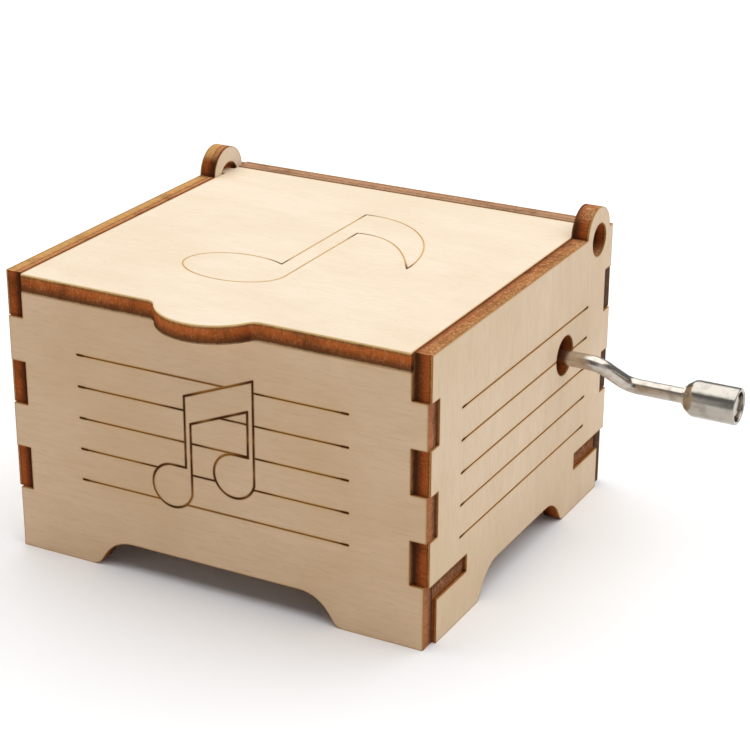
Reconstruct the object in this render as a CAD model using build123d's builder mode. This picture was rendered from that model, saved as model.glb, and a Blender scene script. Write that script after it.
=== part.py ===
from build123d import *
from math import acos, cos, degrees, pi, radians, sin, tan
import os

# Hand crank music box: a finger-jointed plywood box on four feet, with a lid that swings up on two ears,
# and a pinned-cylinder movement turned by a bent wire crank through a worm and a wheel.
# Millimetres. +X is the crank's side, +Y the back, +Z up. The origin is on the surface that the feet stand
# on, in the middle of the whole object's footprint, lid lip and crank knob included.

# ---------------------------------------------------------------- driving dimensions: box
ply = 3.0
box_width = 72.8
box_depth = 66.5
box_height = 46.5
foot_zone = 10.25
finger_rows = 5
finger = (box_height - foot_zone) / finger_rows
foot_recess = 0.7
front_finger_recess = 0.35
side_finger_recess = 0.55
front_foot = 15.0
side_foot = 17.45
arch_height = 4.9
arch_rise_run = 3.27
arch_toe_radius = 1.9
arch_crown_radius = 6.0
floor_top = foot_zone
floor_tab = 10.0
lid_side_gap = 0.12
lid_rear_gap = 0.5
lip_radius = 9.63
lip_center = 4.29
lip_shoulder = 2.0
lip_x = 35.8
ear_radius = 4.45
ear_from_back = 6.4
ear_z = 46.4
hinge_from_back = 6.2
hinge_hole_radius = 2.75
hinge_hole_z = 45.35
lid_tab_recess = 1.7
crank_hole_radius = 3.3
crank_hole_z = 29.7

# engraving: shallow laser-cut lines, a little wider where the beam starts and stops
groove_depth = 0.15
staff_groove = 0.24
note_groove = 0.3
quaver_groove = 0.18
dwell_length = 1.4
dwell_width = 0.34
staff_lines = 5
staff_pitch = 5.22
front_staff = (12.7, 59.9)
front_staff_lowest = 14.3
side_staff = (10.3, 56.8)
side_staff_lowest = 14.1

# ---------------------------------------------------------------- driving dimensions: crank
wire_radius = 1.25
crank_y = 47.8
crank_z = 29.4
first_bend = 5.86
bend_run = 3.37
throw_back = 5.14
throw_down = 4.8
bend_radius = 2.4
knob_start = 19.0
knob_length = 8.6
knob_radius = 3.0

# ---------------------------------------------------------------- driving dimensions: movement
tooth_module = 0.5
wheel_teeth = 24
worm_pitch_radius = 2.2
worm_pin_x = 53.8
worm_pin_radius = 0.4
addendum = 0.4
dedendum = 0.5
center_distance = wheel_teeth * tooth_module / 2 + worm_pitch_radius
axial_pitch = pi * tooth_module
tooth_thickness = 0.70
pressure_angle = radians(20)
wheel_width = 3.0
wheel_x = 48.0
arbor_z = crank_z - center_distance
arbor_radius = 1.0
barrel_radius = 6.5
barrel_wall = 0.6
barrel_front = 24.0
barrel_length = 20.6
pin_radius = 0.22
pin_height = 0.7
pin_depth = 0.3
comb_teeth = 18
comb_pitch = 1.08
comb_slot = 0.2
comb_front = 24.6
comb_tip_gap = 0.08
running_gap = 0.05
push_gap = 0.02
bed_thickness = 2.5
sheet = 1.2
ear_top_radius = 3.0
bush_radius = 1.98
bush_flange = 0.6
bush_flange_radius = 2.6
screw_chamfer = 0.3
slot_width = 0.6
slot_depth = 0.7
slot_span = 1.5
clear_through = 10.0

# ---------------------------------------------------------------- frame, worked out from the above
left = -(box_width + knob_start + knob_length) / 2
lip_reach = lip_radius - lip_center
front = -(box_depth - lip_reach) / 2
right = left + box_width
lid_bottom = box_height - ply
lid_rear = box_depth - ply - lid_rear_gap
hinge_y = box_depth - hinge_from_back
hinge_z = box_height - ply / 2
bed_top = floor_top + bed_thickness
shaft = (crank_y, crank_z)
arbor = (wheel_x, arbor_z)

# Views of the box: local x and y are the box's own width or depth and its height.
front_view = Plane(origin=(left, front, 0), x_dir=(1, 0, 0), z_dir=(0, -1, 0))
side_view = Plane(origin=(left, front, 0), x_dir=(0, 1, 0), z_dir=(1, 0, 0))
top_view = Plane(origin=(left, front, 0), x_dir=(1, 0, 0), z_dir=(0, 0, 1))


def finish(name, piece):
    """Label a finished piece and write it as its own STEP file."""
    piece.part.label = name
    export_step(piece.part, f"parts/{name}.step")


os.makedirs("parts", exist_ok=True)


# ---------------------------------------------------------------- shared profiles
def block(x_range, y_range, mode=Mode.ADD):
    """A rectangle between two x values and two y values of the current view."""
    with Locations((sum(x_range) / 2, sum(y_range) / 2)):
        Rectangle(x_range[1] - x_range[0], y_range[1] - y_range[0], mode=mode)


def rows(first):
    """Heights of every second finger, from the given row up."""
    for row in range(first, finger_rows, 2):
        yield foot_zone + row * finger, foot_zone + (row + 1) * finger


def foot_arch(span, foot):
    """The arch between a panel's two feet: rounded toes, sloping sides and a flat crown."""
    toe = foot - 2 * arch_toe_radius
    crown = foot + arch_rise_run
    below = -1.0
    with BuildLine() as arch:
        FilletPolyline(
            (toe, 0),
            (foot, 0),
            (crown, arch_height),
            (span - crown, arch_height),
            (span - foot, 0),
            (span - toe, 0),
            radius=(arch_toe_radius, arch_crown_radius, arch_crown_radius, arch_toe_radius),
        )
        Polyline((span - toe, 0), (span - toe, below), (toe, below), (toe, 0))
    make_face(arch.line, mode=Mode.SUBTRACT)


def cross_panel(top):
    """Front or back panel: it stands between the sides, and its fingers and feet reach out through them."""
    block((ply, box_width - ply), (0, top))
    block((foot_recess, box_width - foot_recess), (0, foot_zone))
    for low, high in rows(1):
        block((front_finger_recess, box_width - front_finger_recess), (low, high))
    foot_arch(box_width, front_foot)


def side_panel():
    """Side panel: the ear at its top rear carries the lid, and a notch at each foot takes the floor's tab."""
    block((ply, box_depth - ply), (0, box_height))
    for low, high in rows(0):
        block((side_finger_recess, box_depth - side_finger_recess), (low, high))
    with Locations((box_depth - ear_from_back, ear_z)):
        Circle(ear_radius)
    foot_arch(box_depth, side_foot)
    block((ply, ply + floor_tab), (floor_top - ply, floor_top), Mode.SUBTRACT)
    block((box_depth - ply - floor_tab, box_depth - ply), (floor_top - ply, floor_top), Mode.SUBTRACT)
    with Locations((hinge_y, hinge_hole_z)):
        Circle(hinge_hole_radius, mode=Mode.SUBTRACT)


def staff(ends, lowest):
    """Five engraved lines, a little wider at both ends."""
    start, end = (ends[0] + dwell_length / 2, ends[1] - dwell_length / 2)
    for line in range(staff_lines):
        height = lowest + line * staff_pitch
        block((start, end), (height - staff_groove / 2, height + staff_groove / 2))
        with Locations((start, height), (end, height)):
            SlotOverall(dwell_length, dwell_width)


# ---------------------------------------------------------------- front panel
head_radius = 3.55
head_1 = (29.5, 17.0)
head_2 = (40.45, 21.0)
stem_outer = 3.45
stem_inner = 2.45
beam_left = 32.26
beam_right = 37.02
beam_left_inner = 27.92
beam_right_inner = 31.98
head_arc = degrees(acos(stem_outer / head_radius))

with BuildLine() as beamed_notes:
    Polyline(
        (head_1[0] + stem_inner, beam_left),
        (head_1[0] + stem_inner, head_1[1] + head_radius),
        (head_1[0], head_1[1] + head_radius),
    )
    lower_head = CenterArc(head_1, head_radius, 90, 270 - head_arc)
    Polyline(
        lower_head @ 1,
        (head_1[0] + stem_outer, beam_left_inner),
        (head_2[0] + stem_inner, beam_right_inner),
        (head_2[0] + stem_inner, head_2[1] + head_radius),
        (head_2[0], head_2[1] + head_radius),
    )
    upper_head = CenterArc(head_2, head_radius, 90, 270 - head_arc)
    Polyline(
        upper_head @ 1,
        (head_2[0] + stem_outer, beam_right),
        (head_1[0] + stem_inner, beam_left),
    )

with BuildPart() as front_panel:
    with BuildSketch(front_view):
        cross_panel(lid_bottom)
    extrude(amount=-ply)
    with BuildSketch(front_view):
        staff(front_staff, front_staff_lowest)
        make_face(beamed_notes.line, mode=Mode.SUBTRACT)
        trace(beamed_notes.line, note_groove)
    extrude(amount=-groove_depth, mode=Mode.SUBTRACT)
finish("front_panel", front_panel)

# ---------------------------------------------------------------- back panel
with BuildPart() as back_panel:
    with BuildSketch(front_view.offset(ply - box_depth)):
        cross_panel(box_height)
    extrude(amount=-ply)
finish("back_panel", back_panel)

# ---------------------------------------------------------------- side panels
with BuildPart() as left_panel:
    with BuildSketch(side_view):
        side_panel()
    extrude(amount=ply)
    with BuildSketch(side_view):
        staff(side_staff, side_staff_lowest)
    extrude(amount=groove_depth, mode=Mode.SUBTRACT)
finish("left_panel", left_panel)

with BuildPart() as right_panel:
    with BuildSketch(side_view.offset(box_width)):
        side_panel()
        with Locations((crank_y, crank_hole_z)):
            Circle(crank_hole_radius, mode=Mode.SUBTRACT)
    extrude(amount=-ply)
    with BuildSketch(side_view.offset(box_width)):
        staff(side_staff, side_staff_lowest)
    extrude(amount=-groove_depth, mode=Mode.SUBTRACT)
finish("right_panel", right_panel)

# ---------------------------------------------------------------- floor panel
mount_screws = ((18.5, 20.5), (18.5, 54.0), (57.0, 20.5))
mount_screw_radius = 1.2
mount_hole_radius = 1.4

with BuildPart() as bottom_panel:
    with BuildSketch(top_view.offset(floor_top - ply)):
        block((ply, box_width - ply), (ply, box_depth - ply))
        for low in (ply, box_depth - ply - floor_tab):
            block((foot_recess, box_width - foot_recess), (low, low + floor_tab))
        with Locations(*mount_screws):
            Circle(mount_hole_radius, mode=Mode.SUBTRACT)
    extrude(amount=ply)
finish("bottom_panel", bottom_panel)

# ---------------------------------------------------------------- lid
lid_head = (30.0, 18.3)
lid_head_radii = (8.75, 5.9)
lid_stem_left = 35.55
lid_stem_top = 50.4
flag_tip = (53.4, 30.3)
flag_under = ((43.4, 41.1), (48.6, 37.2))
flag_over = ((50.6, 41.6), (44.1, 48.6))
flag_root = 41.5
lid_stem_right = lid_head[0] + lid_head_radii[0]
lid_stem_foot = degrees(acos((lid_stem_left - lid_head[0]) / lid_head_radii[0]))

with BuildLine() as quaver:
    round_head = EllipticalCenterArc(
        lid_head,
        *lid_head_radii,
        start_angle=lid_stem_foot,
        arc_size=360 - lid_stem_foot,
    )
    Line(round_head @ 1, (lid_stem_right, flag_root))
    Spline((lid_stem_right, flag_root), *flag_under, flag_tip)
    Spline(flag_tip, *flag_over, (lid_stem_left, lid_stem_top))
    Line((lid_stem_left, lid_stem_top), round_head @ 0)

with BuildPart() as lid:
    with BuildSketch(top_view.offset(lid_bottom)) as lid_outline:
        block((ply + lid_side_gap, box_width - ply - lid_side_gap), (0, lid_rear))
        with Locations((lip_x, lip_center)):
            Circle(lip_radius)
        front_corners = lid_outline.vertices().group_by(Axis.Y)[0].sort_by(Axis.X)
        fillet(front_corners[1:3], radius=lip_shoulder)
        block((lid_tab_recess, box_width - lid_tab_recess), (hinge_y - ply / 2, hinge_y + ply / 2))
    extrude(amount=ply)
    with BuildSketch(top_view.offset(box_height)):
        trace(quaver.line, quaver_groove)
    extrude(amount=-groove_depth, mode=Mode.SUBTRACT)
finish("lid", lid)

# ---------------------------------------------------------------- movement: shared shapes
# Each line runs along a shaft: local x is the place along the box and local y the distance from the shaft.
shaft_line = Plane((left, front + crank_y, crank_z), x_dir=(1, 0, 0), z_dir=(0, -1, 0))
knob_center = (left, front + crank_y + throw_back, crank_z - throw_down)
knob_line = Plane(knob_center, x_dir=(1, 0, 0), z_dir=(0, -1, 0))
arbor_line = Plane((left + wheel_x, front, arbor_z), x_dir=(0, 1, 0), z_dir=(1, 0, 0))


def turned(line, *profiles):
    """Turned rings: each half section is drawn along the line and spun round it."""
    with BuildPart() as piece:
        with BuildSketch(line):
            for profile in profiles:
                with BuildLine() as outline:
                    Polyline(*profile, close=True)
                make_face(outline.line)
        revolve(axis=Axis(line.origin, line.x_dir))
    return piece


def sleeve(start, end, bore, outer):
    """Half section of a plain ring."""
    return (start, bore), (start, outer), (end, outer), (end, bore)


def bush(inner_face, outer_face, bore):
    """Half section of a flanged bush: its flange lies against the inner face of a plate."""
    into = 1 if outer_face > inner_face else -1
    flange = inner_face - into * bush_flange
    return (
        (flange, bore),
        (flange, bush_flange_radius),
        (inner_face, bush_flange_radius),
        (inner_face, bush_radius),
        (outer_face, bush_radius),
        (outer_face, bore),
    )


def bearing_ear(center, radius, foot):
    """An upright with a round top, bored for a bush."""
    block((center[0] - radius, center[0] + radius), (foot, center[1]))
    with Locations(center):
        Circle(radius)
        Circle(bush_radius + push_gap, mode=Mode.SUBTRACT)


def screws(places, seat, up, head, shank, slots):
    """Slotted screws: a head above (up = 1) or below (up = -1) its seat, and a plain shank."""
    head_size, head_height = head
    shank_radius, shank_length = shank
    with BuildPart() as piece:
        with BuildSketch(top_view.offset(seat)):
            with Locations(*places):
                Circle(head_size)
        extrude(amount=up * head_height)
        rim = piece.edges().filter_by(GeomType.CIRCLE).group_by(Axis.Z)[-1 if up > 0 else 0]
        chamfer(rim, length=screw_chamfer)
        with BuildSketch(top_view.offset(seat)):
            with Locations(*places):
                Circle(shank_radius)
        extrude(amount=-up * shank_length)
        with BuildSketch(top_view.offset(seat + up * head_height)):
            with Locations(*places):
                for turn in range(slots):
                    Rectangle(slot_span * head_size, slot_width, rotation=45 + 90 * turn)
        extrude(amount=-up * slot_depth, mode=Mode.SUBTRACT)
    return piece


# ---------------------------------------------------------------- bedplate
bed_x = (14.0, 60.0)
bed_y = (17.5, 57.5)
bed_corner = 2.5
rail_x = (15.5, 24.5)
rail_y = (22.5, 46.0)
post_y = (19.8, 22.6)
post_radius = 3.5
comb_seat = arbor_z - 0.6
comb_screw_places = ((20.0, 28.5), (20.0, 40.2))
comb_screw_radius = 1.15
bracket_x = (39.2, 56.8)
bracket_y = (44.8, 54.2)
bracket_screw_places = ((42.2, 52.3), (53.8, 52.3))
bracket_screw_radius = 0.95

with BuildPart() as bedplate:
    with BuildSketch(top_view.offset(floor_top)) as bed_outline:
        block(bed_x, bed_y)
        fillet(bed_outline.vertices(), radius=bed_corner)
    extrude(amount=bed_thickness)
    with BuildSketch(top_view.offset(bed_top)):
        block(rail_x, rail_y)
    extrude(amount=comb_seat - bed_top)
    with BuildSketch(front_view.offset(-post_y[0])):
        bearing_ear(arbor, post_radius, bed_top)
    extrude(amount=post_y[0] - post_y[1])
    with BuildSketch(top_view.offset(comb_seat)):
        with Locations(*comb_screw_places):
            Circle(comb_screw_radius + running_gap)
    extrude(amount=floor_top - comb_seat, mode=Mode.SUBTRACT)
    with BuildSketch(top_view.offset(bed_top)):
        with Locations(*bracket_screw_places):
            Circle(bracket_screw_radius + running_gap)
        with Locations(*mount_screws):
            Circle(mount_screw_radius + running_gap)
    extrude(amount=-bed_thickness, mode=Mode.SUBTRACT)
finish("bedplate", bedplate)

mount_head = (2.1, 1.5)
mount_short = 0.3
mount_shank = (mount_screw_radius, ply + bed_thickness - mount_short)
finish("mounting_screws", screws(mount_screws, floor_top - ply, -1, mount_head, mount_shank, 2))

# ---------------------------------------------------------------- comb
comb_plate = 1.6
tooth_plate = 0.9
comb_margin = 1.2
comb_tip = wheel_x - barrel_radius - pin_height - comb_tip_gap
comb_width = comb_teeth * comb_pitch
tooth_bottom = arbor_z - tooth_plate / 2
longest_slot = 26.2
slot_step = 0.15
comb_hole_radius = 1.35

with BuildPart() as comb:
    with BuildSketch(front_view.offset(comb_margin - comb_front)):
        block(rail_x, (comb_seat, comb_seat + comb_plate))
    extrude(amount=-(comb_width + 2 * comb_margin))
    with BuildSketch(front_view.offset(-comb_front)):
        block((rail_x[1], comb_tip), (tooth_bottom, tooth_bottom + tooth_plate))
    extrude(amount=-comb_width)
    with BuildSketch(top_view.offset(comb_seat)):
        for tooth in range(1, comb_teeth):
            gap = comb_front + tooth * comb_pitch
            slot_root = longest_slot + tooth * slot_step
            block((slot_root, comb_tip + comb_pitch), (gap - comb_slot / 2, gap + comb_slot / 2))
        with Locations(*comb_screw_places):
            Circle(comb_hole_radius)
    extrude(amount=comb_plate, mode=Mode.SUBTRACT)
finish("comb", comb)

weighted_teeth = 8
weight_end = 38.4
weight_length = 6.0
weight_height = 2.6
weight_taper = 0.9

with BuildPart() as bass_weights:
    for tooth in range(weighted_teeth):
        scale_down = weight_taper**tooth
        with BuildSketch(front_view.offset(-(comb_front + tooth * comb_pitch + comb_slot))):
            block(
                (weight_end - weight_length * scale_down, weight_end),
                (tooth_bottom - weight_height * scale_down, tooth_bottom),
            )
        extrude(amount=2 * comb_slot - comb_pitch)
finish("bass_weights", bass_weights)

comb_head = (2.2, 1.5)
comb_shank = (comb_screw_radius, 6.0)
finish("comb_screws", screws(comb_screw_places, comb_seat + comb_plate, 1, comb_head, comb_shank, 1))

# ---------------------------------------------------------------- drive bracket and bushes
with BuildPart() as drive_bracket:
    with BuildSketch(top_view.offset(bed_top)):
        block(bracket_x, bracket_y)
        with Locations(*bracket_screw_places):
            Circle(bracket_screw_radius + 2 * running_gap, mode=Mode.SUBTRACT)
    extrude(amount=sheet)
    for side in (bracket_x[0], bracket_x[1] - sheet):
        with BuildSketch(side_view.offset(side)):
            bearing_ear(shaft, ear_top_radius, bed_top)
        extrude(amount=sheet)
    with BuildSketch(front_view.offset(sheet - bracket_y[1])):
        bearing_ear(arbor, ear_top_radius, bed_top)
    extrude(amount=-sheet)
finish("drive_bracket", drive_bracket)

bracket_head = (1.75, 1.2)
bracket_grip = 2.0
bracket_shank = (bracket_screw_radius, sheet + bracket_grip)
finish("bracket_screws", screws(bracket_screw_places, bed_top + sheet, 1, bracket_head, bracket_shank, 1))

shaft_bore = wire_radius + running_gap
left_ear = bracket_x[0] + sheet
right_ear = bracket_x[1] - sheet
finish(
    "shaft_bushes",
    turned(
        shaft_line,
        bush(left_ear, bracket_x[0], shaft_bore),
        bush(right_ear, bracket_x[1], shaft_bore),
    ),
)
arbor_bore = arbor_radius + running_gap
rear_ear = bracket_y[1] - sheet
finish(
    "arbor_bushes",
    turned(
        arbor_line,
        bush(post_y[1], post_y[0], arbor_bore),
        bush(rear_ear, bracket_y[1], arbor_bore),
    ),
)

# ---------------------------------------------------------------- pinned cylinder
cap_thickness = 2.0
cap_radius = barrel_radius - barrel_wall - push_gap
cap_bore = arbor_radius + push_gap
barrel_back = barrel_front + barrel_length
arbor_y = (19.2, 55.0)
arbor_chamfer = 0.3
pin_count = 108
column_step = 7

barrel_section = sleeve(barrel_front, barrel_back, barrel_radius - barrel_wall, barrel_radius)
finish("cylinder_barrel", turned(arbor_line, barrel_section))
front_cap_section = sleeve(barrel_front, barrel_front + cap_thickness, cap_bore, cap_radius)
finish("cylinder_front_cap", turned(arbor_line, front_cap_section))
rear_cap_section = sleeve(barrel_back - cap_thickness, barrel_back, cap_bore, cap_radius)
finish("cylinder_rear_cap", turned(arbor_line, rear_cap_section))

pin_feet = []
for note in range(pin_count):
    turn = 2 * pi * note / pin_count
    column = (note * column_step + note // 5) % comb_teeth
    outward = Vector(cos(turn), 0, sin(turn))
    along = Vector(0, comb_front + (column + 0.5) * comb_pitch, 0)
    foot = arbor_line.origin + along + outward * (barrel_radius - pin_depth)
    pin_feet.append(Plane(origin=foot, z_dir=outward))

with BuildPart() as cylinder_pins:
    with BuildSketch(*pin_feet):
        Circle(pin_radius)
    extrude(amount=pin_depth + pin_height)
finish("cylinder_pins", cylinder_pins)

cylinder_arbor = turned(
    arbor_line,
    (
        (arbor_y[0], 0),
        (arbor_y[0], arbor_radius - arbor_chamfer),
        (arbor_y[0] + arbor_chamfer, arbor_radius),
        (arbor_y[1] - arbor_chamfer, arbor_radius),
        (arbor_y[1], arbor_radius - arbor_chamfer),
        (arbor_y[1], 0),
    ),
)
finish("cylinder_arbor", cylinder_arbor)

# ---------------------------------------------------------------- worm wheel
pitch_radius = wheel_teeth * tooth_module / 2
base_radius = pitch_radius * cos(pressure_angle)
lead_slope = axial_pitch / (2 * pi * worm_pitch_radius)
wheel_twist = wheel_width / 2 * lead_slope / pitch_radius
wheel_y = crank_y - wheel_width / 2
hub_radius = 2.2
hub_behind = 1.0


def tooth_half_angle(radius):
    """Half the angle that a wheel tooth spans at a radius: an involute outside the base circle."""
    roll = acos(base_radius / max(radius, base_radius))
    spread = tan(pressure_angle) - pressure_angle - (tan(roll) - roll)
    return tooth_thickness / (2 * pitch_radius) + spread


def wheel_outline(turn):
    """Points round the wheel, with one tooth upright when turn is zero."""
    radii = (pitch_radius - dedendum, base_radius, pitch_radius, pitch_radius + addendum)
    for tooth in range(wheel_teeth):
        middle = pi / 2 + turn + tooth * 2 * pi / wheel_teeth
        for radius in radii:
            angle = middle - tooth_half_angle(radius)
            yield radius * cos(angle), radius * sin(angle)
        for radius in reversed(radii):
            angle = middle + tooth_half_angle(radius)
            yield radius * cos(angle), radius * sin(angle)


with BuildPart() as worm_wheel:
    for place, turn in ((wheel_y, wheel_twist), (wheel_y + wheel_width, -wheel_twist)):
        wheel_face = Plane((left + wheel_x, front + place, arbor_z), x_dir=(1, 0, 0), z_dir=(0, -1, 0))
        with BuildSketch(wheel_face):
            with BuildLine():
                Polyline(*wheel_outline(turn), close=True)
            make_face()
    loft(ruled=True)
    with BuildSketch(front_view.offset(-(barrel_back + running_gap))):
        with Locations(arbor):
            Circle(hub_radius)
    extrude(amount=-(wheel_y + wheel_width + hub_behind - barrel_back - running_gap))
    with BuildSketch(front_view.offset(-barrel_back)):
        with Locations(arbor):
            Circle(cap_bore)
    extrude(amount=-(wheel_width + clear_through), mode=Mode.SUBTRACT)
finish("worm_wheel", worm_wheel)

# ---------------------------------------------------------------- worm on the crank's shaft
worm_play = 0.15
worm_x = (left_ear + bush_flange + worm_play, right_ear - bush_flange - worm_play)
worm_root = worm_pitch_radius - dedendum
thread_turns = 6
thread_start = wheel_x - thread_turns * axial_pitch / 2
thread_sink = 0.1
half_crest = tooth_thickness / 2 - addendum * tan(pressure_angle)
half_foot = tooth_thickness / 2 + (dedendum + thread_sink) * tan(pressure_angle)
pin_plane = Plane.XY.offset(crank_z - worm_root)

with BuildPart() as worm:
    with BuildSketch(shaft_line):
        block(worm_x, (0, worm_root))
    revolve(axis=Axis(shaft_line.origin, shaft_line.x_dir))
    with BuildLine():
        thread_line = Helix(
            axial_pitch,
            thread_turns * axial_pitch,
            worm_pitch_radius,
            center=(left + thread_start, front + crank_y, crank_z),
            direction=(1, 0, 0),
        )
    thread_radial = (thread_line @ 0) - Vector(left + thread_start, front + crank_y, crank_z)
    with BuildSketch(Plane(thread_line @ 0, x_dir=thread_radial, z_dir=thread_line % 0)):
        with BuildLine():
            Polyline(
                (-dedendum - thread_sink, -half_foot),
                (addendum, -half_crest),
                (addendum, half_crest),
                (-dedendum - thread_sink, half_foot),
                close=True,
            )
        make_face()
    sweep(path=thread_line, is_frenet=True)
    with BuildSketch(side_view.offset(worm_x[0])):
        with Locations(shaft):
            Circle(wire_radius + push_gap)
    extrude(amount=worm_x[1] - worm_x[0], mode=Mode.SUBTRACT)
    with BuildSketch(pin_plane):
        with Locations((left + worm_pin_x, front + crank_y)):
            Circle(worm_pin_radius + push_gap)
    extrude(amount=2 * worm_root, mode=Mode.SUBTRACT)
finish("worm", worm)

with BuildPart() as worm_pin:
    with BuildSketch(pin_plane):
        with Locations((left + worm_pin_x, front + crank_y)):
            Circle(worm_pin_radius)
    extrude(amount=2 * worm_root)
finish("worm_pin", worm_pin)

# ---------------------------------------------------------------- crank and knob
shaft_end = 38.0
recess_depth = 1.5
recess_radius = 2.35
washer_gap = 0.05
washer_thickness = 0.35
washer_radius = 2.1
rivet_radius = 1.8
rivet_height = 0.6
rivet_round = 0.35
stop_gap = 0.1
stop_length = 0.45
stop_radius = 1.6
shoulder_run = 1.25
shoulder_radius = 2.15
shoulder_round = 1.7
nose_round = 0.3
rim_round = 0.15
knob_x = (box_width + knob_start, box_width + knob_start + knob_length)
washer_x = knob_x[1] - recess_depth + washer_gap
wire_end = washer_x + washer_thickness + rivet_height
stop_x = knob_x[0] - stop_gap - stop_length

with BuildPart() as crank_arm:
    with BuildLine():
        wire = FilletPolyline(
            shaft_line.from_local_coords((shaft_end, 0)),
            shaft_line.from_local_coords((box_width + first_bend, 0)),
            knob_line.from_local_coords((box_width + first_bend + bend_run, 0)),
            knob_line.from_local_coords((wire_end, 0)),
            radius=bend_radius,
        )
    with BuildSketch(Plane(origin=wire @ 0, z_dir=wire % 0)):
        Circle(wire_radius)
    sweep(path=wire)
    with BuildSketch(knob_line) as collars:
        block((stop_x, stop_x + stop_length), (0, stop_radius))
        block((washer_x + washer_thickness, wire_end), (0, rivet_radius))
        rivet_corner = collars.vertices().group_by(Axis.X)[-1].sort_by(Axis.Y)[-1]
        fillet(rivet_corner, radius=rivet_round)
    revolve(axis=Axis(knob_line.origin, knob_line.x_dir))
    with BuildSketch(pin_plane):
        with Locations((left + worm_pin_x, front + crank_y)):
            Circle(worm_pin_radius + push_gap)
    extrude(amount=2 * worm_root, mode=Mode.SUBTRACT)
finish("crank_arm", crank_arm)

washer_section = sleeve(washer_x, washer_x + washer_thickness, wire_radius + push_gap, washer_radius)
finish("knob_washer", turned(knob_line, washer_section))

with BuildPart() as crank_knob:
    with BuildSketch(knob_line) as knob_section:
        with BuildLine():
            Polyline(
                (knob_x[0], wire_radius + running_gap),
                (knob_x[0], shoulder_radius),
                (knob_x[0] + shoulder_run, knob_radius),
                (knob_x[1], knob_radius),
                (knob_x[1], recess_radius),
                (knob_x[1] - recess_depth, recess_radius),
                (knob_x[1] - recess_depth, wire_radius + running_gap),
                close=True,
            )
        make_face()
        shoulder, rim = knob_section.vertices().group_by(Axis.Y)[-1].sort_by(Axis.X)
        fillet(shoulder, radius=shoulder_round)
        fillet(rim, radius=rim_round)
        nose = knob_section.vertices().group_by(Axis.X)[0].sort_by(Axis.Y)[-1]
        fillet(nose, radius=nose_round)
    revolve(axis=Axis(knob_line.origin, knob_line.x_dir))
finish("crank_knob", crank_knob)
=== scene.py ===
from collections import namedtuple
from math import cos, pi, radians, sin, tan

import bpy
from mathutils import Matrix, Vector


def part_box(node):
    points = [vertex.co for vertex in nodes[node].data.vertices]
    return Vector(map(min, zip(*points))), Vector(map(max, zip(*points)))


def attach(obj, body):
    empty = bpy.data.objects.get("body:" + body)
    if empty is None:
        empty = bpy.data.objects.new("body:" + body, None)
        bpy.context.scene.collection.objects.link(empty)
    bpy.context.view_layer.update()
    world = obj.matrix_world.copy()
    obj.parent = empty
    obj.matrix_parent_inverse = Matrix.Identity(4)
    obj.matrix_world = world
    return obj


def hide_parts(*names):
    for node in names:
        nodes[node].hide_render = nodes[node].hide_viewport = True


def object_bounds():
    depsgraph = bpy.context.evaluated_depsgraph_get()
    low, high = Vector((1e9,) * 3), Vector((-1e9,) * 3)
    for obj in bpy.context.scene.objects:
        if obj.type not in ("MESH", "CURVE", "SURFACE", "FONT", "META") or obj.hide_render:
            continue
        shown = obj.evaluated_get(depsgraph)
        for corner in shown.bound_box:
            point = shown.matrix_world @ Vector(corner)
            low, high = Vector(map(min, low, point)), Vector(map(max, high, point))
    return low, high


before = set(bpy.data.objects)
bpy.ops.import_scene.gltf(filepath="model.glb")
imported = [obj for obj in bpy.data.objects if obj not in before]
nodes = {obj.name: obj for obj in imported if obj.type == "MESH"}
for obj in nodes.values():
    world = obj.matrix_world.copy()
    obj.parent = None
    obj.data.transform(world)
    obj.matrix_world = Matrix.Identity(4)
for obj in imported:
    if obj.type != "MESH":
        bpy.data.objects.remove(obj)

cad_low, cad_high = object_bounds()

# Hand crank music box: a laser-cut plywood box with a lid and a pinned-cylinder movement.
# Metres, in the CAD frame: +X is the crank's side, +Y the back, +Z up.
MM = 0.001
PER_METRE = 1000.0
AXES = {"X": 0, "Y": 1, "Z": 2}

# ---------------------------------------------------------------- material nodes
OCCLUSION_RAYS = 8
FAR = 1000.0
MIDDLE = 0.5


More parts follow.
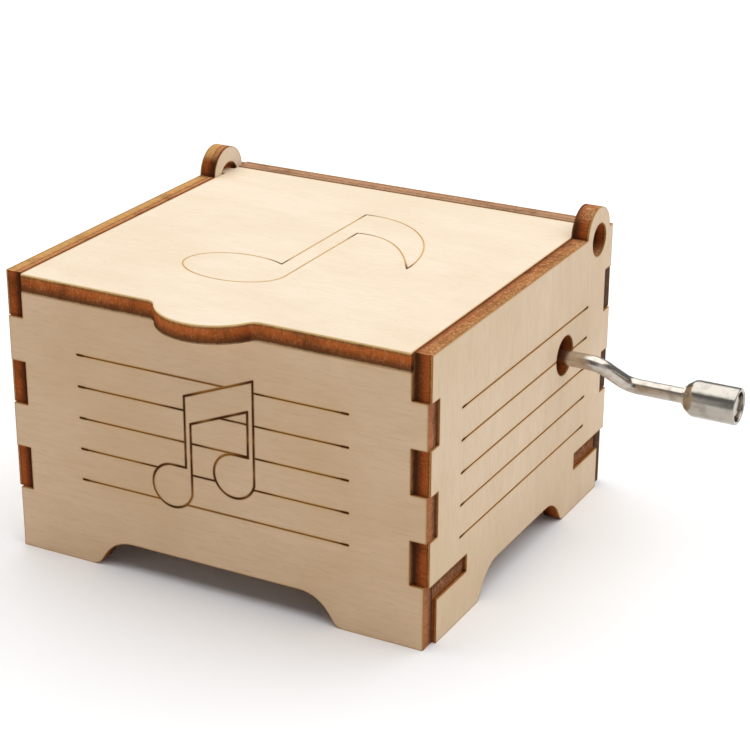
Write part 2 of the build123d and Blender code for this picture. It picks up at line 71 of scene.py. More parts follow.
class Graph:
    """A material whose nodes are written as calls: each call adds a node and returns its output."""

    def __init__(self, name):
        self.material = bpy.data.materials.new(name)
        self.material.use_nodes = True
        self.tree = self.material.node_tree
        self.tree.nodes.clear()
        self.shader = self.tree.nodes.new("ShaderNodeBsdfPrincipled")
        output = self.tree.nodes.new("ShaderNodeOutputMaterial")
        self.tree.links.new(self.shader.outputs["BSDF"], output.inputs["Surface"])

    def set(self, socket, value):
        """Link an output to a socket, or set the socket to a plain value."""
        if isinstance(value, bpy.types.NodeSocket):
            self.tree.links.new(value, socket)
        else:
            socket.default_value = value

    def surface(self, **values):
        """Set the shader's own sockets, with _ for a space in a socket's name."""
        for name, value in values.items():
            self.set(self.shader.inputs[name.replace("_", " ")], value)

    def node(self, kind, inputs=None, **settings):
        made = self.tree.nodes.new("ShaderNode" + kind)
        for name, value in settings.items():
            setattr(made, name, value)
        for key, value in (inputs or {}).items():
            self.set(made.inputs[key], value)
        return made

    def math(self, operation, a, b=0.0, c=0.0):
        made = self.node("Math", {0: a, 1: b, 2: c}, operation=operation)
        return made.outputs[0]

    def plus(self, a, b):
        return self.math("ADD", a, b)

    def minus(self, a, b):
        return self.math("SUBTRACT", a, b)

    def times(self, a, b):
        return self.math("MULTIPLY", a, b)

    def clamp(self, value, low, high):
        """0 below low, 1 above high, and a smooth rise between them."""
        made = self.node("MapRange", {0: value, 1: low, 2: high}, interpolation_type="SMOOTHSTEP")
        return made.outputs[0]

    def mix(self, factor, a, b):
        made = self.node("Mix", data_type="RGBA")
        for socket, value in ((made.inputs[0], factor), (made.inputs[6], a), (made.inputs[7], b)):
            self.set(socket, value)
        return made.outputs[2]

    def laid(self, under, tone, mask, strength):
        """A colour with a tone laid over it where a mask is 1, as strongly as strength says."""
        return self.mix(self.times(mask, strength), under, tone)

    def ramp(self, value, *stops):
        """A colour for a value: each stop is (position, colour)."""
        made = self.node("ValToRGB", {0: value})
        elements = made.color_ramp.elements
        while len(elements) < len(stops):
            elements.new(MIDDLE)
        for element, (position, tone) in zip(elements, stops):
            element.position = position
            element.color = tone
        return made.outputs[0]

    def place(self):
        """The surface point in the piece's own frame, in millimetres."""
        at = self.node("TexCoord").outputs["Object"]
        made = self.node("VectorMath", {0: at}, operation="SCALE")
        made.inputs["Scale"].default_value = PER_METRE
        return made.outputs[0]

    def stretched(self, place, scales):
        made = self.node("VectorMath", {0: place, 1: scales}, operation="MULTIPLY")
        return made.outputs[0]

    def noise(self, place, scale=1.0, detail=2.0, roughness=0.5, distortion=0.0):
        made = self.node("TexNoise", {"Vector": place})
        made.inputs["Scale"].default_value = scale
        made.inputs["Detail"].default_value = detail
        made.inputs["Roughness"].default_value = roughness
        made.inputs["Distortion"].default_value = distortion
        return made.outputs["Fac"]

    def pattern(self, place, axis, look):
        """The noise of a Pattern, drawn out along an axis."""
        scales = [look.across] * 3
        scales[axis] = look.along
        return self.noise(self.stretched(place, scales), 1.0, look.detail, look.roughness, look.distortion)

    def shown(self, noise, look):
        """A mask of where a Pattern's noise shows."""
        return self.clamp(noise, look.least, look.most)

    def closed_in(self, reach, **settings):
        """How closed in the surface is within a reach in millimetres: 0 in the open."""
        made = self.node("AmbientOcclusion", samples=OCCLUSION_RAYS, only_local=True, **settings)
        made.inputs["Distance"].default_value = reach * MM
        return self.minus(1.0, made.outputs["AO"])

    def nearest(self, place, points):
        """Distance to the nearest of some points, or a long way if there are none."""
        least = FAR
        for point in points:
            apart = self.node("VectorMath", {0: place, 1: point}, operation="DISTANCE").outputs["Value"]
            least = self.math("MINIMUM", least, apart)
        return least

    def bump(self, height, strength, distance):
        made = self.node("Bump", {"Height": height})
        made.inputs["Strength"].default_value = strength
        made.inputs["Distance"].default_value = distance
        return made.outputs["Normal"]


def color(red, green, blue):
    """A screen colour, 0 to 255, as the linear colour that the shader takes, by the sRGB formula."""
    shares = [value / 255 for value in (red, green, blue)]
    linear = [share / 12.92 if share < 0.0404 else ((share + 0.055) / 1.055) ** 2.4 for share in shares]
    return (*linear, 1.0)


# ---------------------------------------------------------------- plywood
PORE = color(170, 136, 98)
SCORCH = color(196, 146, 84)
GOLD = color(216, 172, 112)
# the charred tone of cut edges, also laid in the corners of notches as painted shade
CHAR_AND_SHADE = color(62, 34, 16)
SPECKLE = color(214, 164, 118)

# engraved lines: the tone where the beam paused, and the tone along the rest of the line
DEEP_LINES = (color(88, 46, 14), color(166, 114, 54))
LIGHT_LINES = (color(124, 84, 38), color(222, 190, 130))

# a burnt edge from the outer face, where the beam goes in, to the inner face, as shares of the thickness
EDGE_BANDS = (
    (0.00, color(204, 160, 110)),
    (0.07, color(190, 142, 92)),
    (0.12, color(112, 62, 30)),
    (0.20, color(164, 84, 38)),
    (0.42, color(152, 75, 34)),
    (0.60, color(112, 56, 28)),
    (0.78, color(70, 38, 22)),
    (0.90, color(76, 46, 28)),
    (0.96, color(116, 78, 48)),
    (1.00, color(128, 90, 58)),
)

# the lid's own edges: a pale veneer line above and below, and a browner burn between them
LID_BANDS = (
    (0.00, color(216, 174, 126)),
    (0.08, color(196, 150, 100)),
    (0.14, color(140, 88, 46)),
    (0.24, color(188, 103, 50)),
    (0.48, color(178, 94, 45)),
    (0.64, color(142, 78, 40)),
    (0.84, color(112, 70, 40)),
    (0.91, color(104, 70, 44)),
    (0.95, color(172, 138, 104)),
    (1.00, color(176, 144, 110)),
)

# the top edges of the side and back sheets, in lighter and less orange bands than the other edges
TOP_BANDS = (
    (0.00, color(214, 172, 128)),
    (0.08, color(190, 146, 102)),
    (0.11, color(112, 70, 40)),
    (0.16, color(180, 132, 88)),
    (0.26, color(170, 117, 72)),
    (0.44, color(162, 107, 65)),
    (0.66, color(170, 111, 70)),
    (0.84, color(152, 91, 56)),
    (0.94, color(102, 56, 34)),
    (1.00, color(112, 66, 42)),
)
TAN_TOP_BANDS = (
    (0.00, color(216, 176, 122)),
    (0.06, color(120, 84, 50)),
    (0.12, color(204, 158, 98)),
    (0.50, color(198, 150, 92)),
    (0.60, color(140, 82, 50)),
    (0.66, color(192, 138, 90)),
    (0.86, color(184, 124, 80)),
    (0.93, color(110, 50, 32)),
    (1.00, color(104, 46, 30)),
)
BACK_TOP_BANDS = (
    (0.00, color(150, 114, 86)),
    (0.18, color(146, 110, 83)),
    (0.26, color(180, 137, 106)),
    (0.50, color(180, 138, 107)),
    (0.60, color(150, 112, 84)),
    (0.72, color(170, 131, 102)),
    (1.00, color(174, 136, 108)),
)

# a noise pattern: its scales along and across an axis, per millimetre, its shape, the range of the noise over
# which it shows, and its strength
PATTERN_PARTS = "along across detail roughness distortion least most strength"
Pattern = namedtuple("Pattern", PATTERN_PARTS, defaults=(0.0, 1.0, 1.0))
FIGURE = Pattern(0.018, 0.075, 4.0, 0.55, 0.8, 0.30, 0.70)
CLOUD = Pattern(0.05, 0.05, 3.0, 0.50, 0.0, 0.42, 0.72, 0.42)
BLOTCHES = Pattern(0.09, 0.30, 3.0, 0.60, 0.6, 0.42, 0.72, 0.22)
GRAIN = Pattern(0.26, 2.6, 5.0, 0.62, 0.5, 0.40, 0.70, 0.38)
PORES = Pattern(0.55, 5.5, 2.0, 0.50, 0.0, 0.60, 0.74, 0.24)
STRIATIONS = Pattern(0.40, 4.0, 3.0, 0.60, 0.0, 0.48, 0.74, 0.38)
MOTTLE = Pattern(1.1, 1.1, 5.0, 0.68, 0.0)
CHARRED_PATCHES = Pattern(0.25, 0.25, 2.0, 0.50, 0.0, 0.48, 0.75, 0.45)
LIGHT_FLECKS = Pattern(2.4, 2.4, 3.0, 0.70, 0.0, 0.50, 0.66)
DARK_FLECKS = LIGHT_FLECKS._replace(least=0.46, most=0.34, strength=0.5)
DWELL_DRIFT = Pattern(0.16, 0.16, 2.0, 0.50, 0.0, strength=3.0)

# distances in millimetres: how deep under a face a cut begins, how deep the engraving goes, how far a staff's
# glow reaches into the sheet, and how far from a pause the beam's dark spot fades
CUT_DEPTHS = (0.015, 0.03)
ENGRAVING_DEPTH = 0.2
GLOW_DEPTH = 1.0
DWELL_FADE = (2.0, 5.5)

# how strong the glow is, and how far the bands of a burnt edge wander, as a share of the thickness
GLOW_STRENGTH = 0.38
BAND_WANDER = 0.11

# scorching on a face beside a cut, and painted shade in the corners of notches: reach in millimetres, the
# range of closeness over which it grows, and its strength
ScorchAndShade = namedtuple("ScorchAndShade", "reach least most strength")
PALE_MARGIN = ScorchAndShade(0.55, 0.10, 0.60, 0.45)
DARK_MARGIN = ScorchAndShade(0.22, 0.05, 0.35, 0.70)
PAINTED_NOTCH_SHADE = ScorchAndShade(2.6, 0.12, 0.62, 0.8)

# light flecks are few on most edges, and fade out over these shares of the thickness towards the inner face
FEW_FLECKS = 0.10
FLECKS_FADE = (0.92, 0.55)

# a cut surface counts as an end by how much of its normal lies along the end's axis: not at all below the
# first value, and fully above the second
FACING_END = (0.5, 0.9)

# plywood's gloss and relief
FACE_ROUGHNESS, GRAIN_ROUGHNESS = 0.46, 0.2
FACE_SPECULAR = 0.32
GRAIN_RELIEF, RELIEF_STRENGTH, RELIEF_DEPTH = 0.35, 0.5, 0.04 * MM

# a sheet: the axis through it, its grain, which side is its outer face (1 or -1), its veneer's plain, pale
# and warm tones, the ends coloured differently from its other edges, how much more those others are charred,
# and the tones of its engraved lines
Sheet = namedtuple("Sheet", "thickness_axis grain_axis outer veneer ends char lines")

# ends: they face along an axis and lie further out than a distance, in millimetres
Ends = namedtuple("Ends", "axis beyond strength bands flecks")

# an engraved staff, in millimetres: the axis along its lines, where they start and end on it, the lowest
# line's height, and the span of a note that cuts the glow beside them, or None
Staff = namedtuple("Staff", "axis start end lowest note")


def veneer(g, at, along, tones):
    """The face's colour and its grain: figure, clouds, blotches and pores, drawn out along the grain."""
    plain, pale, warm = tones
    grain = g.pattern(at, along, GRAIN)
    face = g.mix(g.shown(g.pattern(at, along, FIGURE), FIGURE), plain, pale)
    face = g.laid(face, warm, g.shown(g.pattern(at, along, CLOUD), CLOUD), CLOUD.strength)
    face = g.laid(face, warm, g.shown(g.pattern(at, along, BLOTCHES), BLOTCHES), BLOTCHES.strength)
    face = g.laid(face, warm, g.shown(grain, GRAIN), GRAIN.strength)
    face = g.laid(face, PORE, g.shown(g.pattern(at, along, PORES), PORES), PORES.strength)
    return face, grain


def engraving(g, at, dwells, lines):
    """The colour of the engraved lines, darkest near the points where the beam paused."""
    drift = g.times(g.pattern(at, 0, DWELL_DRIFT), DWELL_DRIFT.strength)
    return g.mix(g.clamp(g.plus(g.nearest(at, dwells), drift), *DWELL_FADE), *lines)


def scorched_and_shaded(g, colour, tone, scorch_and_shade, **settings):
    """A colour darkened to a tone where the surface is closed in: the scorching beside cuts, and the painted
    shade in the corners of notches.
    """
    mask = g.clamp(g.closed_in(scorch_and_shade.reach, **settings), scorch_and_shade.least, scorch_and_shade.most)
    return g.laid(colour, tone, mask, scorch_and_shade.strength)


def staff_glow(g, parts, staff):
    """1 on the engraved lines of a staff, fading to 0 a little way from them and inside the note, if any."""
    line = g.math("DIVIDE", g.minus(parts[2], staff.lowest), STAFF_PITCH)
    from_line = g.times(g.math("ABSOLUTE", g.minus(line, g.math("ROUND", line))), STAFF_PITCH)
    near_line = g.clamp(from_line, *GLOW_FADE)
    place = parts[staff.axis]
    begun = g.clamp(place, staff.start - GLOW_END, staff.start)
    along = g.times(begun, g.clamp(place, staff.end + GLOW_END, staff.end))
    top = STAFF_LINES - 1
    above = g.clamp(line, -LINE_MARGINS[0], -LINE_MARGINS[1])
    up = g.times(above, g.clamp(line, top + LINE_MARGINS[0], top + LINE_MARGINS[1]))
    if staff.note:
        before = g.clamp(place, staff.note[0], staff.note[0] - GLOW_NOTE_FADE)
        after = g.clamp(place, staff.note[1], staff.note[1] + GLOW_NOTE_FADE)
        along = g.times(along, g.plus(before, after))
    return g.times(near_line, g.times(along, up))


def burnt_edge(g, at, parts, share, through, sheet):
    """The colour of the cut edges and their striations, which run straight through the sheet.

    share is the depth as a share of the thickness, and through is the axis through the sheet."""
    edge = g.ramp(share, *EDGE_BANDS)
    normal = g.node("SeparateXYZ", {0: g.node("TexCoord").outputs["Normal"]}).outputs
    flecked, charred = FEW_FLECKS, sheet.char
    for end in sheet.ends:
        facing = g.clamp(g.math("ABSOLUTE", normal[AXES[end.axis]]), *FACING_END)
        outermost = g.math("GREATER_THAN", g.math("ABSOLUTE", parts[AXES[end.axis]]), end.beyond)
        on_end = g.times(facing, outermost)
        edge = g.laid(edge, g.ramp(share, *end.bands), on_end, end.strength)
        flecked = g.math("MULTIPLY_ADD", on_end, end.flecks, flecked)
        charred = g.math("MULTIPLY_ADD", on_end, -sheet.char, charred)
    flecks = g.pattern(at, through, LIGHT_FLECKS)
    light = g.times(g.shown(flecks, LIGHT_FLECKS), g.clamp(share, *FLECKS_FADE))
    edge = g.laid(edge, SPECKLE, light, flecked)
    edge = g.laid(edge, CHAR_AND_SHADE, g.shown(flecks, DARK_FLECKS), g.times(flecked, DARK_FLECKS.strength))
    striations = g.pattern(at, through, STRIATIONS)
    edge = g.laid(edge, CHAR_AND_SHADE, g.shown(striations, STRIATIONS), STRIATIONS.strength)
    patches = g.shown(g.pattern(at, through, CHARRED_PATCHES), CHARRED_PATCHES)
    edge = g.mix(g.plus(g.times(patches, CHARRED_PATCHES.strength), charred), edge, CHAR_AND_SHADE)
    # the corners of notches darkened towards the char tone by how closed in they are: painted shade
    return scorched_and_shaded(g, edge, CHAR_AND_SHADE, PAINTED_NOTCH_SHADE), striations


def plywood(name, node, sheet, dwells, staff):
    """Three-ply birch, laser cut: veneer on both faces, scorched brown wherever the beam has passed.

    dwells are the points, in millimetres, where the beam paused while it engraved."""
    g = Graph(name)
    low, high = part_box(node)
    through = AXES[sheet.thickness_axis]
    thickness = (high[through] - low[through]) * PER_METRE
    at = g.place()
    parts = g.node("SeparateXYZ", {0: at}).outputs
    from_low = g.minus(parts[through], low[through] * PER_METRE)
    from_high = g.minus(high[through] * PER_METRE, parts[through])
    from_outer = from_high if sheet.outer > 0 else from_low
    cut = g.clamp(g.math("MINIMUM", from_low, from_high), *CUT_DEPTHS)
    uncut = g.minus(1.0, cut)

    face, grain = veneer(g, at, AXES[sheet.grain_axis], sheet.veneer)
    engraved = engraving(g, at, dwells, sheet.lines)
    face = scorched_and_shaded(g, face, SCORCH, PALE_MARGIN, inside=True)
    face = scorched_and_shaded(g, face, engraved, DARK_MARGIN, inside=True)
    if staff:
        glow = g.times(staff_glow(g, parts, staff), g.math("LESS_THAN", from_outer, GLOW_DEPTH))
        face = g.laid(face, GOLD, glow, GLOW_STRENGTH)

    mottle = g.pattern(at, through, MOTTLE)
    wander = g.times(g.minus(mottle, MIDDLE), BAND_WANDER)
    share = g.plus(g.math("DIVIDE", from_outer, thickness), wander)
    edge, striations = burnt_edge(g, at, parts, share, through, sheet)
    edge = g.mix(g.math("LESS_THAN", from_outer, ENGRAVING_DEPTH), edge, engraved)

    relief = g.plus(
        g.times(g.times(grain, uncut), GRAIN_RELIEF),
        g.times(g.plus(striations, mottle), cut),
    )
    g.surface(
        Base_Color=g.mix(cut, face, edge),
        Roughness=g.plus(g.times(grain, GRAIN_ROUGHNESS), FACE_ROUGHNESS),
        Normal=g.bump(relief, RELIEF_STRENGTH, RELIEF_DEPTH),
        Specular_IOR_Level=g.times(uncut, FACE_SPECULAR),
    )
    return g.material


# ---------------------------------------------------------------- metals
# scales of the scratches, per millimetre: across them, and along them
SCRATCH_ACROSS, SCRATCH_ALONG = 9.0, 0.18
SCRATCH_RELIEF = 0.35

# the ranges of the noise over which tarnish and scratches show
TARNISHED = (0.42, 0.72)
SCRATCHED = (0.55, 0.8)


def metal(name, base, shade, roughness, wear=0.10, brushed=None, turned=None, relief=0.02, scale=0.6):
    """Metal with cloudy tarnish and hairline scratches, which run along an axis where it is brushed and round
    an axis where it was turned on a lathe."""
    g = Graph(name)
    at = g.place()
    cloud = g.noise(at, scale=scale, detail=5.0, roughness=0.6)
    scales = [SCRATCH_ALONG if turned else SCRATCH_ACROSS] * 3
    if brushed:
        scales[AXES[brushed]] = SCRATCH_ALONG
    if turned:
        scales[AXES[turned]] = SCRATCH_ACROSS
    scratches = g.noise(g.stretched(at, scales), detail=4.0, roughness=0.7)
    tint = g.mix(g.clamp(cloud, *TARNISHED), base, shade)
    tint = g.laid(tint, shade, g.clamp(scratches, *SCRATCHED), wear * 2)
    gloss = g.plus(g.times(cloud, wear), g.times(scratches, wear))
    g.surface(
        Base_Color=tint,
        Metallic=1.0,
        Roughness=g.plus(gloss, roughness - wear),
        Normal=g.bump(scratches, SCRATCH_RELIEF, relief * MM),
    )
    return g.material


# ---------------------------------------------------------------- give every CAD node its material
def paint(names, material):
    """Put one material on every slot of these CAD nodes."""
    for name in names:
        piece = nodes[name]
        for material_slot in piece.material_slots:
            material_slot.material = material


# engraving, in millimetres: across from the panel's left or front edge, and up from the floor or, on the lid,
# back from the front edge. The staves' ends and lowest lines, the points where the beam paused at the beamed
# notes and where the staff's lines break off beside them, the notes' span, and the corners of the lid's note
STAFF_PITCH, STAFF_LINES = 5.22, 5
FRONT_STAFF, FRONT_LOWEST = (12.7, 59.9), 14.3
SIDE_STAFF, SIDE_LOWEST = (10.3, 56.8), 14.1
NOTE_CORNERS = ((31.95, 32.26), (31.95, 20.55), (32.95, 27.92), (42.9, 31.98), (42.9, 24.55), (43.9, 37.02))
NOTE_FEET = ((29.5, 13.45), (40.45, 17.45))
SECOND_LINE_BREAKS = ((26.8, 19.52), (33.4, 19.52), (36.4, 19.52), (44.4, 19.52))
UPPER_LINE_BREAKS = ((33.5, 24.74), (44.4, 24.74), (31.4, 29.96), (38.2, 29.96), (44.4, 29.96), (44.4, 35.18))
NOTE_SPAN = (27.0, 43.9)
QUAVER_CORNERS = ((35.55, 50.4), (38.75, 41.5), (53.4, 30.3), (35.55, 22.9))

# the glow beside a staff's lines: where it fades across a line, past a line's end, beside the note, and, as
# shares of the pitch, below the lowest line and above the highest
GLOW_FADE = (0.62, 0.10)
GLOW_END = 1.0
GLOW_NOTE_FADE = 0.3
LINE_MARGINS = (0.4, 0.3)

box_left, box_front = cad_low.x * PER_METRE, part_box("front_panel")[0].y * PER_METRE
box_right, box_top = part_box("right_panel")[1].x * PER_METRE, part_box("lid")[1].z * PER_METRE


def staff_ends(ends, lowest):
    """Both ends of each of the five engraved lines."""
    for line in range(STAFF_LINES):
        for end in ends:
            yield end, lowest + line * STAFF_PITCH


front_marks = [*staff_ends(FRONT_STAFF, FRONT_LOWEST), *NOTE_CORNERS, *NOTE_FEET]
front_marks += [*SECOND_LINE_BREAKS, *UPPER_LINE_BREAKS]
side_marks = list(staff_ends(SIDE_STAFF, SIDE_LOWEST))
DWELLS = {
    "front_panel": [(box_left + u, box_front, z) for u, z in front_marks],
    "left_panel": [(box_left, box_front + v, z) for v, z in side_marks],
    "right_panel": [(box_right, box_front + v, z) for v, z in side_marks],
    "lid": [(box_left + u, box_front + v, box_top) for u, v in QUAVER_CORNERS],
}
note_span = (box_left + NOTE_SPAN[0], box_left + NOTE_SPAN[1])
front_lines = Staff(0, box_left + FRONT_STAFF[0], box_left + FRONT_STAFF[1], FRONT_LOWEST, note_span)
side_lines = Staff(1, box_front + SIDE_STAFF[0], box_front + SIDE_STAFF[1], SIDE_LOWEST, None)
STAVES = {"front_panel": front_lines, "left_panel": side_lines, "right_panel": side_lines}

# plain, pale and warm tones of each sheet's veneer
TAN_SHEET = (color(216, 184, 149), color(222, 191, 157), color(201, 166, 123))
CREAM_SHEET = (color(219, 193, 161), color(224, 200, 171), color(207, 178, 139))
PALE_SHEET = (color(230, 212, 186), color(236, 219, 197), color(222, 199, 166))


def plain_end(tone):
    """Bands for an edge burnt to one tone, darker towards the inner face."""
    return (0.0, color(*tone)), (0.5, color(*tone)), (1.0, CHAR_AND_SHADE)


# the ends coloured differently: those of the fingers and tabs, the lid's front and rear, and the top edges,
# which are all that lies higher than TOP_FROM
TOP_FROM = 42.0
FRONT_ENDS = (Ends("X", 0.0, 0.6, plain_end((178, 124, 92)), 0.2),)
BACK_ENDS = (
    Ends("X", 0.0, 0.95, plain_end((82, 68, 58)), 0.0),
    Ends("Z", TOP_FROM, 0.95, BACK_TOP_BANDS, 0.3),
)
LEFT_ENDS = (Ends("Z", TOP_FROM, 0.9, TAN_TOP_BANDS, 0.3),)
RIGHT_ENDS = (Ends("Z", TOP_FROM, 0.9, TOP_BANDS, 0.65),)
BOTTOM_ENDS = (Ends("X", 0.0, 0.8, plain_end((130, 90, 65)), 0.3),)
LID_ENDS = (Ends("Y", 0.0, 0.9, LID_BANDS, 0.15),)
PANELS = {
    "front_panel": Sheet("Y", "X", -1, TAN_SHEET, FRONT_ENDS, 0.0, DEEP_LINES),
    "back_panel": Sheet("Y", "X", 1, TAN_SHEET, BACK_ENDS, 0.35, DEEP_LINES),
    "left_panel": Sheet("X", "Z", -1, PALE_SHEET, LEFT_ENDS, 0.0, DEEP_LINES),
    "right_panel": Sheet("X", "Z", 1, CREAM_SHEET, RIGHT_ENDS, 0.0, DEEP_LINES),
    "bottom_panel": Sheet("Z", "X", -1, TAN_SHEET, BOTTOM_ENDS, 0.15, DEEP_LINES),
    "lid": Sheet("Z", "X", 1, PALE_SHEET, LID_ENDS, 0.0, LIGHT_LINES),
}
for panel, sheet in PANELS.items():
    paint([panel], plywood("ply_" + panel, panel, sheet, DWELLS.get(panel, ()), STAVES.get(panel)))

zinc_casting = metal("cast_zinc", color(170, 170, 166), color(150, 150, 147), 0.48, relief=0.08, scale=0.9)
comb_steel = metal("comb_steel", color(190, 192, 196), color(176, 178, 183), 0.34, brushed="X", relief=0.04)
lead = metal("lead", color(120, 122, 126), color(92, 94, 98), 0.55, relief=0.08)
zinc_plate = metal("zinc_plated_steel", color(202, 204, 206), color(168, 174, 184), 0.30)
brass = metal("brass", color(226, 190, 118), color(202, 162, 92), 0.30)
barrel_brass = metal(
    "barrel_brass", color(230, 196, 122), color(214, 176, 104), 0.34, turned="Y", relief=0.04
)
pin_steel = metal("pin_steel", color(206, 206, 208), color(170, 172, 178), 0.25)
worm_steel = metal("worm_steel", color(190, 192, 196), color(150, 152, 158), 0.24)
nickel = metal("nickel_wire", color(198, 190, 179), color(170, 160, 148), 0.24, wear=0.06, relief=0.01)
knob_nickel = metal(
    "nickel_knob", color(182, 176, 166), color(160, 153, 143), 0.20, wear=0.10, brushed="X", relief=0.04
)
paint(["bedplate"], zinc_casting)
paint(["comb"], comb_steel)
paint(["bass_weights"], lead)
paint(["comb_screws", "mounting_screws", "bracket_screws", "drive_bracket"], zinc_plate)
paint(["shaft_bushes", "arbor_bushes", "cylinder_front_cap", "cylinder_rear_cap", "worm_wheel"], brass)
paint(["cylinder_barrel"], barrel_brass)
paint(["cylinder_pins"], pin_steel)
paint(["cylinder_arbor", "worm", "worm_pin"], worm_steel)
paint(["crank_arm", "knob_washer"], nickel)
paint(["crank_knob"], knob_nickel)

# ---------------------------------------------------------------- crank: smooth wire, knob and washer
ROUND = 96
SHARP = radians(35)
ALONG_WIRE = Vector((1, 0, 0))

# the wire: its radius, how far its two corners lie out from the right panel, the radius of its bends, the
# share by which a bend flattens it, the points on a bend, their even spacing, and how often they are eased
WIRE_RADIUS = 1.25 * MM
BEND_PLACES = (5.86 * MM, 9.23 * MM)
BEND_RADIUS = 2.4 * MM
BEND_SQUEEZE = 0.06
BEND_STEPS = 20
BEND_SPACING = 0.25 * MM
BEND_EASING = 10

# the wire's profile in millimetres, as (distance, radius): a stop ring in front of the knob, the riveted head
# beyond the washer, and the head's tip at the wire's end
STOP_AHEAD = 0.55 * MM
STOP_RING = ((0.0, 1.25), (0.05, 1.55), (0.10, 1.60), (0.40, 1.60), (0.45, 1.55), (0.45, 1.25))
RIVET_HEAD = ((0.0, 1.25), (0.0, 1.80), (0.30, 1.80), (0.45, 1.72))
RIVET_TIP = ((-0.05, 1.60), (0.0, 1.45))

# the knob: radii, lengths and how far each corner of its half section is rounded, and the same for the washer
KNOB_BORE, KNOB_NECK, KNOB_RECESS = 1.30 * MM, 2.15 * MM, 2.35 * MM
KNOB_SHOULDER, RECESS_DEPTH = 1.25 * MM, 1.5 * MM
KNOB_ROUNDING = (0.3 * MM, 1.7 * MM, 0.28 * MM, 0.25 * MM, 0.05 * MM, 0.0)
WASHER_PLAY = 0.02 * MM
WASHER_ROUNDING = (0.08 * MM, 0.08 * MM, 0.0)


def rounded(corners, radii, steps):
    """Points along the line through the corners, each inner corner turned as an arc of its own radius."""
    line = [corners[0]]
    for before, corner, after, radius in zip(corners, corners[1:], corners[2:], radii):
        if not radius:
            line.append(corner)
            continue
        back, ahead = (before - corner).normalized(), (after - corner).normalized()
        half = back.angle(ahead) / 2
        middle = corner + (back + ahead).normalized() * radius / sin(half)
        start, end = corner + back * radius / tan(half), corner + ahead * radius / tan(half)
        first, last = (start - middle).normalized(), (end - middle).normalized()
        line += [middle + first.slerp(last, step / steps) * radius for step in range(steps + 1)]
    line.append(corners[-1])
    return line


def eased(line, spacing, passes):
    """The same line at an even spacing, with bends that start and end gradually."""
    points = [line[0]]
    for ahead in line[1:]:
        while (ahead - points[-1]).length > spacing:
            points.append(points[-1] + (ahead - points[-1]).normalized() * spacing)
    for _ in range(passes):
        middles = [(a + b * 2 + c) / 4 for a, b, c in zip(points, points[1:], points[2:])]
        points = [points[0], *middles, points[-1]]
    return points


def ring(center, first, second, width, height):
    """Points round an ellipse whose half axes lie along first and second."""
    turns = [2 * pi * step / ROUND for step in range(ROUND)]
    return [center + first * width * cos(turn) + second * height * sin(turn) for turn in turns]


def skin(name, rings, closed, material, body, node):
    """A smooth piece through the rings, with flat ends unless it closes on itself, in place of a CAD node."""
    points = [point for loop in rings for point in loop]
    faces = []
    for place in range(len(rings) - (0 if closed else 1)):
        here, there = place * ROUND, (place + 1) % len(rings) * ROUND
        for side in range(ROUND):
            turn = (side + 1) % ROUND
            faces.append((here + side, here + turn, there + turn, there + side))
    if not closed:
        faces.append(tuple(reversed(range(ROUND))))
        faces.append(tuple(range(len(points) - ROUND, len(points))))
    mesh = bpy.data.meshes.new(name)
    mesh.from_pydata(points, [], faces)
    mesh.shade_smooth()
    mesh.set_sharp_from_angle(angle=SHARP)
    mesh.materials.append(material)
    piece = bpy.data.objects.new(name, mesh)
    bpy.context.scene.collection.objects.link(piece)
    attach(piece, body)
    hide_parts(node)


def lathed(name, node, profile, material, body):
    """A ring-shaped piece turned round the middle of a CAD node: profile is its closed half section."""
    low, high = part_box(node)
    middle = (low + high) / 2
    y, z = Vector((0, 1, 0)), Vector((0, 0, 1))
    rings = [ring(Vector((x, middle.y, middle.z)), y, z, radius, radius) for x, radius in profile]
    skin(name, rings, True, material, body, node)


def half_section(corners, radii, steps=6):
    """Corners and rounding of a half section, in metres, as points; the first corner stays sharp."""
    loop = [Vector((x, radius, 0)) for x, radius in (*corners, corners[0])]
    return [(point.x, point.y) for point in rounded(loop, radii, steps)[:-1]]


def profile_from(start, offsets):
    """A profile in millimetres from a starting place, as places and radii in metres."""
    return [(start + distance * MM, radius * MM) for distance, radius in offsets]


def crank_wire():
    """The bent wire with its stop ring and riveted end, in one piece."""
    shaft_low, shaft_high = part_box("shaft_bushes")
    knob_low, knob_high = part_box("crank_knob")
    start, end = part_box("crank_arm")[0].x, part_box("crank_arm")[1].x
    face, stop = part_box("right_panel")[1].x, knob_low.x - STOP_AHEAD
    shaft, knob = (shaft_low + shaft_high) / 2, (knob_low + knob_high) / 2
    corners = [
        Vector((face, shaft.y, shaft.z)),
        Vector((face + BEND_PLACES[0], shaft.y, shaft.z)),
        Vector((face + BEND_PLACES[1], knob.y, knob.z)),
        Vector((end, knob.y, knob.z)),
    ]
    line = eased(rounded(corners, (BEND_RADIUS, BEND_RADIUS), BEND_STEPS), BEND_SPACING, BEND_EASING)
    throw = Vector((0, knob.y - shaft.y, knob.z - shaft.z))
    across = ALONG_WIRE.cross(throw).normalized()
    in_plane = ALONG_WIRE.cross(across)
    rings = [ring(Vector((start, shaft.y, shaft.z)), across, in_plane, WIRE_RADIUS, WIRE_RADIUS)]
    for before, point, after in zip(line, line[1:], line[2:]):
        if point.x > stop:
            break
        along = (after - before).normalized()
        bend = (after - point).angle(point - before) * BEND_RADIUS / BEND_SPACING
        squeezed = WIRE_RADIUS * (1 - BEND_SQUEEZE * min(bend, 1.0))
        rings.append(ring(point, across, along.cross(across), WIRE_RADIUS, squeezed))
    tail = profile_from(stop, STOP_RING)
    tail += profile_from(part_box("knob_washer")[1].x, RIVET_HEAD)
    tail += profile_from(end, RIVET_TIP)
    for x, radius in tail:
        rings.append(ring(Vector((x, knob.y, knob.z)), across, in_plane, radius, radius))
    skin("crank_wire", rings, False, nickel, "crank", "crank_arm")


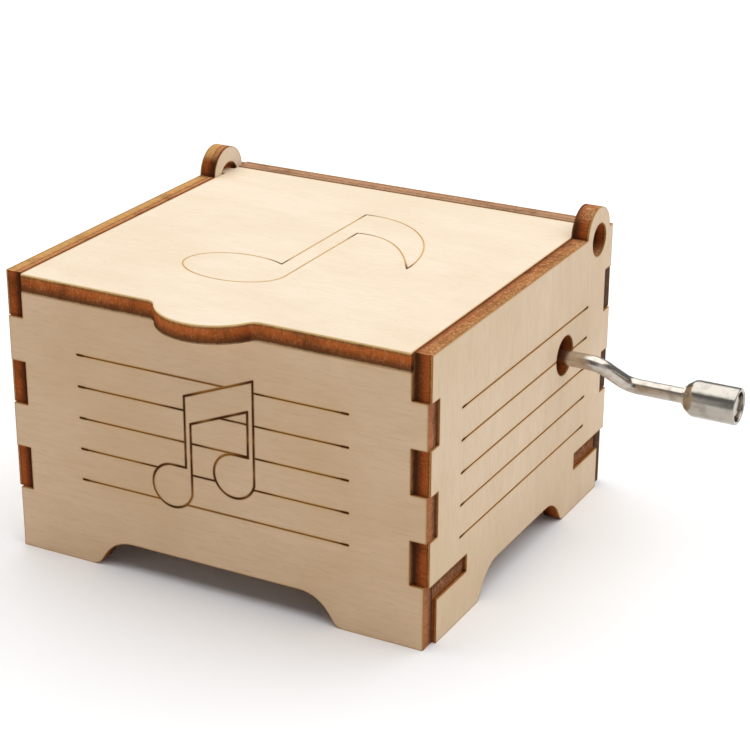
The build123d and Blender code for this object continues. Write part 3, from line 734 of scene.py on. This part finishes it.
def knob_shell():
    """The knob: a sloping shoulder, a straight side and a hollow end."""
    low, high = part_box("crank_knob")
    radius, floor_x = (high.z - low.z) / 2, high.x - RECESS_DEPTH
    corners = (
        (low.x, KNOB_BORE),
        (low.x, KNOB_NECK),
        (low.x + KNOB_SHOULDER, radius),
        (high.x, radius),
        (high.x, KNOB_RECESS),
        (floor_x, KNOB_RECESS),
        (floor_x, KNOB_BORE),
    )
    profile = half_section(corners, KNOB_ROUNDING)
    lathed("knob_shell", "crank_knob", profile, knob_nickel, "knob")


def end_washer():
    """The washer under the wire's riveted end."""
    low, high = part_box("knob_washer")
    bore, edge = WIRE_RADIUS + WASHER_PLAY, (high.z - low.z) / 2
    corners = ((low.x, bore), (low.x, edge), (high.x, edge), (high.x, bore))
    profile = half_section(corners, WASHER_ROUNDING)
    lathed("end_washer", "knob_washer", profile, nickel, "crank")


crank_wire()
knob_shell()
end_washer()

# ---------------------------------------------------------------- stage
FLOOR_HALF = 6.0
PAPER = (0.95, 0.95, 0.955, 1.0)

# soft lights: name, place, what they face, size in metres, and power in watts
SOFTBOXES = (
    ("overhead", (0.1, 0.6, 1.1), (0.1, 0.6, 0.0), (2.8, 2.4), 38.0),
    ("right_side", (1.4, -0.9, 0.45), (0.0, 0.0, 0.05), (1.6, 0.8), 2.0),
    ("front_left", (-0.9, -1.4, 0.5), (0.0, 0.0, 0.05), (1.4, 0.8), 1.5),
)
BACKDROP, BACKDROP_STRENGTH = (0.95, 0.97, 1.0, 1.0), 0.18


def floor():
    """A plain pale floor, as one large sheet."""
    mesh = bpy.data.meshes.new("floor")
    corners = [(x * FLOOR_HALF, y * FLOOR_HALF, 0.0) for x, y in ((-1, -1), (1, -1), (1, 1), (-1, 1))]
    mesh.from_pydata(corners, [], [(0, 1, 2, 3)])
    sheet = bpy.data.objects.new("floor", mesh)
    bpy.context.scene.collection.objects.link(sheet)
    g = Graph("floor_paper")
    g.surface(Base_Color=PAPER, Roughness=0.9, Specular_IOR_Level=0.1)
    mesh.materials.append(g.material)


def softbox(name, place, target, size, power):
    """A rectangular soft light at place, turned to face target."""
    light = bpy.data.lights.new(name, "AREA")
    light.shape = "RECTANGLE"
    light.size, light.size_y = size
    light.energy = power
    lamp = bpy.data.objects.new(name, light)
    bpy.context.scene.collection.objects.link(lamp)
    lamp.location = place
    lamp.rotation_mode = "QUATERNION"
    lamp.rotation_quaternion = (Vector(target) - Vector(place)).to_track_quat("-Z", "Y")


floor()
for box in SOFTBOXES:
    softbox(*box)

world = bpy.data.worlds.new("studio")
bpy.context.scene.world = world
world.use_nodes = True
backdrop = world.node_tree.nodes["Background"]
backdrop.inputs["Color"].default_value = BACKDROP
backdrop.inputs["Strength"].default_value = BACKDROP_STRENGTH

# ---------------------------------------------------------------- camera
# place in metres, angles in radians, lens and sensor in millimetres, and clipping distances in metres
CAMERA_PLACE = (0.142268, -0.272815, 0.156539)
YAW, PITCH, ROLL = -0.4875, 0.3954, 0.0053
LENS, SENSOR = 101.85, 36.0
NEAREST, FURTHEST = 0.01, 30.0


def camera():
    """A camera at the object's front right, a little above it."""
    data = bpy.data.cameras.new("camera")
    data.lens = LENS
    data.sensor_width = SENSOR
    data.clip_start = NEAREST
    data.clip_end = FURTHEST
    made = bpy.data.objects.new("camera", data)
    bpy.context.scene.collection.objects.link(made)
    forward = Vector((sin(YAW) * cos(PITCH), cos(YAW) * cos(PITCH), -sin(PITCH)))
    level_right = Vector((cos(YAW), -sin(YAW), 0.0))
    level_up = level_right.cross(forward)
    right = level_right * cos(ROLL) + level_up * sin(ROLL)
    up = level_up * cos(ROLL) - level_right * sin(ROLL)
    turn = Matrix((right, up, -forward)).transposed()
    made.matrix_world = Matrix.Translation(CAMERA_PLACE) @ turn.to_4x4()
    bpy.context.scene.camera = made


camera()
bpy.context.scene.view_settings.view_transform = "Standard"
